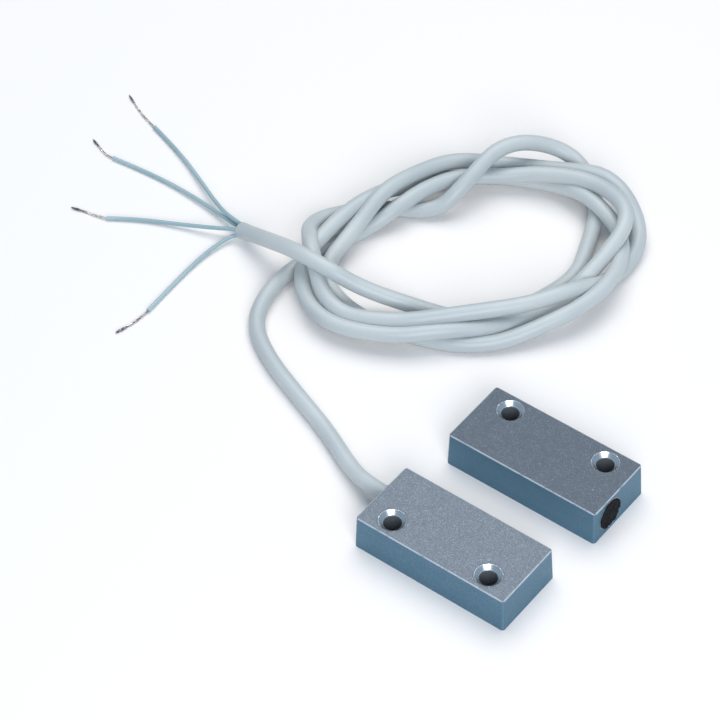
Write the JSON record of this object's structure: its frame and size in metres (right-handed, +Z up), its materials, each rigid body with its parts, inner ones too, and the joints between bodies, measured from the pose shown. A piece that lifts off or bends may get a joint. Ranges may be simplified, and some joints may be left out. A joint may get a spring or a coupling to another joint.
{
  "type": "door contact sensor",
  "caption": "Surface-mounted magnetic door contact: a rectangular reed sensor block with its loose cable, and a matching magnet block.",
  "frame": {"origin": "centre of the sensor block's flat base", "axes": "+X along both blocks, from the sensor's cable end to its plain end; +Y from the sensor to the magnet; +Z up, away from the mounting surface"},
  "size_m": [0.2198, 0.1602, 0.0171],
  "materials": {
    "alloy_coat": "satin blue-grey metallic coat",
    "reed_glass": "clear",
    "reed_metal": "bright",
    "sleeve_plastic": "matt",
    "core_plastic": "semi-gloss",
    "solder": "bright",
    "cable_jacket": "satin",
    "black_resin": "matt",
    "copper_strand": "bright",
    "magnet_alloy": "bright"
  },
  "bodies": {
    "sensor": {"sensor_housing": "alloy_coat", "reed_glass": "reed_glass", "reed_lead_near": "reed_metal", "reed_lead_far": "reed_metal", "reed_sleeve": "sleeve_plastic", "inner_core_1": "core_plastic", "inner_core_2": "core_plastic", "inner_core_3": "core_plastic", "inner_core_4": "core_plastic", "solder_joints": "solder", "cable_lead": "cable_jacket", "sensor_potting": "black_resin", "cable_coil": "cable_jacket", "cable_tail": "cable_jacket", "core_1": "core_plastic", "core_2": "core_plastic", "core_3": "core_plastic", "core_4": "core_plastic", "conductor_1": "copper_strand", "conductor_2": "copper_strand", "conductor_3": "copper_strand", "conductor_4": "copper_strand"},
    "reed_blade_near": {"reed_blade_near": "reed_metal"},
    "reed_blade_far": {"reed_blade_far": "reed_metal"},
    "magnet": {"magnet_housing": "alloy_coat", "magnet_rod": "magnet_alloy", "magnet_potting": "black_resin"}
  },
  "joints": [
    {"name": "door_travel", "type": "slide", "parent": "sensor", "child": "magnet", "axis": [0, 1, 0], "range_m": [-0.0125, 0.025]},
    {"name": "near_blade_flex", "type": "hinge", "parent": "sensor", "child": "reed_blade_near", "pos_m": [-0.00344, 0.00405, 0.00554], "axis": [0, 1, 0], "range_deg": [-0.5, 0.95]},
    {"name": "far_blade_flex", "type": "hinge", "parent": "sensor", "child": "reed_blade_far", "pos_m": [0.00744, 0.00405, 0.00586], "axis": [0, 1, 0], "range_deg": [-0.5, 0.95]}
  ],
  "couplings": [
    {"joint": "near_blade_flex", "follows": "door_travel", "rad_per_m": 0.635},
    {"joint": "far_blade_flex", "follows": "door_travel", "rad_per_m": 0.635}
  ]
}
